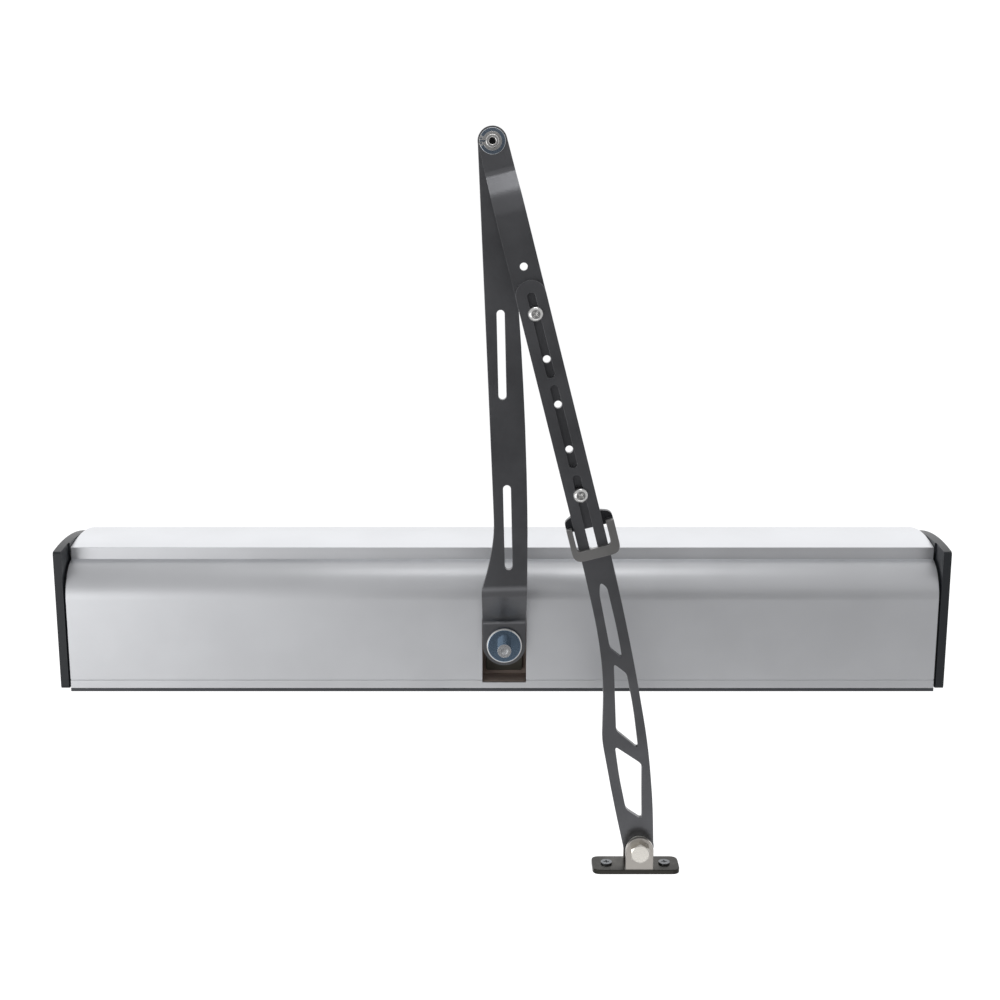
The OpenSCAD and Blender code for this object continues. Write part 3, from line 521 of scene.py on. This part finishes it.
def pick_faces(piece, wanted):
    """In edit mode afterwards, with only the wanted faces selected."""
    select_only(piece)
    bpy.ops.object.mode_set(mode="EDIT")
    bpy.ops.mesh.select_mode(type="FACE")
    bpy.ops.mesh.select_all(action="DESELECT")
    to_object_mode()
    for face in piece.data.polygons:
        face.select = wanted(face)
    bpy.ops.object.mode_set(mode="EDIT")


def freeze(piece):
    """Puts the new piece's place, turn and size into its mesh, so it sits at the origin."""
    bpy.ops.object.transform_apply(location=True, rotation=True, scale=True)
    return piece


def add_cylinder(name, sides, radius, bottom, top, at):
    bpy.ops.object.select_all(action="DESELECT")
    bpy.ops.mesh.primitive_cylinder_add(vertices=sides, radius=radius, depth=top - bottom,
                                        location=(at[0], at[1], (top + bottom) / 2))
    piece = bpy.context.object
    piece.name = piece.data.name = name
    return freeze(piece)


def cut(piece, tool, operation="DIFFERENCE"):
    select_only(piece)
    step = piece.modifiers.new("cut", "BOOLEAN")
    step.operation, step.object, step.solver = operation, tool, "EXACT"
    bpy.ops.object.modifier_apply(modifier=step.name)
    bpy.data.objects.remove(tool)


def join(pieces):
    """The pieces as one, under the first one's name."""
    select_only(pieces[0])
    for piece in pieces:
        piece.select_set(True)
    bpy.ops.object.join()
    return pieces[0]


def turning_blank(corner, across, bottom, head_height, slope_height, at):
    """A round bar whose lower end narrows to the turned face."""
    blank = add_cylinder("turned_blank", 96, corner * BLANK_SIZE, bottom + slope_height,
                         bottom + head_height + BLANK_OVERLAP, at)
    pick_faces(blank, faces_down)
    bpy.ops.mesh.extrude_region_move(TRANSFORM_OT_translate={"value": (0, 0, -slope_height)})
    shrink = across / 2 * TURNED_FACE / (corner * BLANK_SIZE)
    bpy.ops.transform.resize(value=(shrink, shrink, 1), center_override=(at[0], at[1], bottom))
    to_object_mode()
    return blank


def turned_bolt(node, name, head_height, shank_radius, slope_height):
    low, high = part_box(node)
    across = min(high[0] - low[0], high[1] - low[1])
    at = ((low[0] + high[0]) / 2, (low[1] + high[1]) / 2)
    corner = across / 2 / math.cos(math.pi / 6)
    head = add_cylinder(name, 6, corner, low[2], low[2] + head_height, at)
    cut(head, turning_blank(corner, across, low[2], head_height, slope_height, at), "INTERSECT")
    shank = add_cylinder("shank", 48, shank_radius, low[2] + head_height * 0.5, high[2], at)
    pick_faces(shank, faces_up)
    bpy.ops.mesh.bevel(offset=SHANK_END_BEVEL, segments=2, affect="EDGES")
    to_object_mode()
    bolt = join([head, shank])
    flatten_shading(bolt, smooth_below=25)
    stands_for(bolt, node)
    return bolt


bolt = turned_bolt("shoe_bolt", "shoe_bolt_turned", head_height=0.0053, shank_radius=0.004,
                   slope_height=0.0009)
print("bolt", [round(v * 1000, 1) for v in bolt.dimensions])

# %% [markdown]
# ## The clamp screws
# These are pan-head screws: a low dome, pressed cold, with a cross driven into it. The dome
# mirrors the whole room, which is why a bright screw head sparkles where a flat washer next
# to it stays dark. The head starts as a cylinder whose lower rim is bevelled in many steps
# until it is a dome, and two small tapered bars cut the cross. Both screws are made by the
# same steps and joined into one piece.

# %% Dome the clamp screws
SCREW_NODE = "clamp_screws"
SCREW_WIDTH = 0.0108
HEAD_MARGIN = 0.0002
HEAD_HEIGHT = 0.0032
SCREW_SHANK_RADIUS = 0.0025
DOME_RADIUS = 0.0026
CROSS_LENGTH, CROSS_WIDTH, CROSS_BAR_HEIGHT = 0.0054, 0.0011, 0.0030
CROSS_CENTRE_HEIGHT = 0.0004
CROSS_TAPER = 0.55
CROSS_TAPER_HEIGHT = 0.002
CROSS_TURN = 0.6
SHANK_START = 0.0025
RIM_BEVEL = 0.00015


def cross_bar(bottom, at, turn):
    """A bar that narrows upwards, ready to be cut out of a screw head."""
    bpy.ops.object.select_all(action="DESELECT")
    bpy.ops.mesh.primitive_cube_add(
        size=1, location=(at[0], at[1], bottom + CROSS_CENTRE_HEIGHT))
    bar = bpy.context.object
    bar.scale = (CROSS_LENGTH, CROSS_WIDTH, CROSS_BAR_HEIGHT)
    bar.rotation_euler = (0, 0, turn)
    freeze(bar)
    pick_faces(bar, faces_up)
    bpy.ops.transform.resize(value=(CROSS_TAPER, CROSS_TAPER, 1),
                             center_override=(at[0], at[1], bottom + CROSS_TAPER_HEIGHT))
    to_object_mode()
    return bar


def pan_head(name, radius, bottom, top, at):
    head = add_cylinder(name, 64, radius, bottom, top, at)
    pick_faces(head, faces_down)
    bpy.ops.mesh.bevel(offset=DOME_RADIUS, segments=9, profile=0.5, affect="EDGES")
    to_object_mode()
    for turn in (CROSS_TURN, CROSS_TURN + math.pi / 2):
        cut(head, cross_bar(bottom, at, turn))
    return head


def clamp_screws():
    low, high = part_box(SCREW_NODE)
    radius = SCREW_WIDTH / 2
    parts = []
    for at in ((low[0] + radius, low[1] + radius), (high[0] - radius, high[1] - radius)):
        parts.append(pan_head("clamp_screws_domed", radius - HEAD_MARGIN, low[2],
                              low[2] + HEAD_HEIGHT, at))
        parts.append(add_cylinder("clamp_shank", 32, SCREW_SHANK_RADIUS,
                                  low[2] + SHANK_START, high[2], at))
    screws = join(parts)
    soften(screws, RIM_BEVEL, segments=2, corner=40)
    stands_for(screws, SCREW_NODE)
    return screws


screws = clamp_screws()
print("clamp screws", [round(v * 1000, 1) for v in screws.dimensions])

# %% [markdown]
# ## Studio
# A pale floor lies well below the box, and the sky of the studio is white above and greyer
# towards the floor. Satin metal shows what stands around it, so a small lamp in front and
# broad low lamps at the left and at the wall's side do the modelling. A dark flag under the
# object gives polished faces something dark to mirror, as a flag does in a real studio.

# %% Floor, sky and lamps
FLOOR_LEVEL = -2.05
FLOOR_RADIUS = 30
SKY_STRENGTH = 1.0
FLOOR_TONES = ((0.44, 0.44, 0.445), (0.47, 0.47, 0.47))
FLAG_TONES = ((0.09, 0.09, 0.092), (0.12, 0.12, 0.122))
# From the horizon, at 0.5, to straight overhead, at 1.
SKY_STOPS = ((0.5, (0.47, 0.47, 0.475)), (0.58, (0.58, 0.58, 0.5829)),
             (0.72, (0.82, 0.82, 0.8241)), (0.86, (1.4, 1.4, 1.407)),
             (0.94, (1.25, 1.25, 1.25625)), (1.0, (1.02, 1.02, 1.025)))
LAMPS = {
    "front_lamp": dict(place=(0.03, -0.80, -0.22), aim=(0.02, -0.38, -0.09),
                       size=(0.34, 0.13), power=0.36),
    "left_low_lamp": dict(place=(-1.4, 0.1, -1.35), aim=(-0.1, -0.05, 0),
                          size=(1.0, 1.6), power=7.6),
    "wall_side_low_lamp": dict(place=(0.1, 1.2, -1.7), aim=(0.08, 0.05, -0.1),
                               size=(1.3, 0.7), power=1.9),
}


def matt(name, pattern_scale, tones, rough):
    f = Finish(name)
    f.set(Base_Color=f.mix(f.noise(pattern_scale), *tones), Roughness=rough)
    return f


def make_floor():
    bpy.ops.mesh.primitive_circle_add(vertices=64, radius=FLOOR_RADIUS, fill_type="NGON",
                                      location=(0, 0, FLOOR_LEVEL))
    floor = bpy.context.object
    floor.name = "studio_floor"
    pale = matt("pale_floor", 0.7, FLOOR_TONES, 0.9)
    pale.set(Specular_IOR_Level=0.1)
    floor.data.materials.append(pale.material)


def make_sky():
    world = bpy.data.worlds.new("studio_sky")
    bpy.context.scene.world = world
    world.use_nodes = True
    tree = world.node_tree
    place = tree.nodes.new("ShaderNodeTexCoord")
    split = tree.nodes.new("ShaderNodeSeparateXYZ")
    ramp = tree.nodes.new("ShaderNodeValToRGB")
    stops = ramp.color_ramp.elements
    for position, colour in SKY_STOPS[1:-1]:
        stops.new(position).color = (*colour, 1)
    for number in (0, -1):
        stops[number].position = SKY_STOPS[number][0]
        stops[number].color = (*SKY_STOPS[number][1], 1)
    half = tree.nodes.new("ShaderNodeMath")  # from -1 ... 1 to 0 ... 1
    half.operation = "MULTIPLY_ADD"
    half.inputs[1].default_value = half.inputs[2].default_value = 0.5
    tree.links.new(place.outputs["Generated"], split.inputs[0])
    tree.links.new(split.outputs["Z"], half.inputs[0])
    tree.links.new(half.outputs[0], ramp.inputs[0])
    tree.links.new(ramp.outputs[0], tree.nodes["Background"].inputs["Color"])
    tree.nodes["Background"].inputs["Strength"].default_value = SKY_STRENGTH


def make_lamp(name, place, aim, size, power):
    data = bpy.data.lights.new(name, "AREA")
    data.shape, data.size, data.size_y, data.energy = "RECTANGLE", size[0], size[1], power
    lamp = bpy.data.objects.new(name, data)
    bpy.context.scene.collection.objects.link(lamp)
    lamp.location = place
    lamp.rotation_euler = (Vector(aim) - Vector(place)).to_track_quat("-Z", "Y").to_euler()
    lamp.visible_camera = False


def make_flag(place, size):
    bpy.ops.mesh.primitive_plane_add(size=1, location=place)
    flag = bpy.context.object
    flag.name = "dark_flag"
    flag.scale = (size[0], size[1], 1)
    flag.visible_camera = False
    flag.data.materials.append(matt("flag_cloth", 40.0, FLAG_TONES, 0.95).material)


make_floor()
make_sky()
for name, settings in LAMPS.items():
    make_lamp(name, **settings)
make_flag(place=(0.28, -0.02, -1.5), size=(0.85, 0.95))
bpy.context.scene.view_settings.view_transform = "Standard"
print("studio ready")
